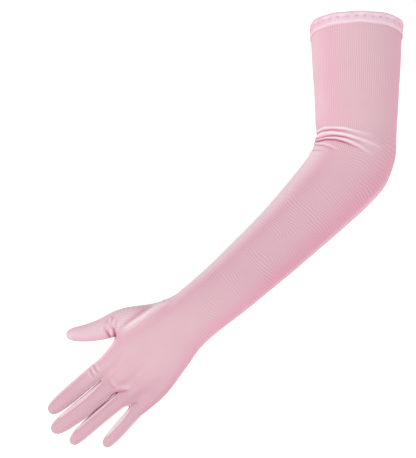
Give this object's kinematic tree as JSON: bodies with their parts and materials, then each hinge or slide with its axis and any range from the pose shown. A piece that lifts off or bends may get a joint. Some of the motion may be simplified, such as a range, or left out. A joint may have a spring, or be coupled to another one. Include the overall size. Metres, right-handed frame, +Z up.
{
  "type": "long tulle dress glove",
  "caption": "Left-hand opera-length glove in fine stretch net, held in its worn form: hollow sleeve with doubled top hem, bent elbow with folds, set-in thumb and side strips between fingers.",
  "frame": {"origin": "centre of the arm opening at the top edge of the hem", "axes": "+Z up, +X towards the outer side of the elbow, the back of the hand faces -Y"},
  "size_m": [0.3372, 0.1143, 0.4109],
  "materials": {
    "glove_net": "fine stretch net, soft satin sheen",
    "hem_net": "doubled stretch net with a row of stitches",
    "strip_net": "fine stretch net, paler where it is stretched"
  },
  "bodies": {
    "root": {"top_hem": "hem_net", "arm_and_hand": "glove_net", "thumb": "glove_net", "fourchette_index_middle": "strip_net", "fourchette_middle_ring": "strip_net", "fourchette_ring_little": "strip_net"}
  },
  "joints": []
}
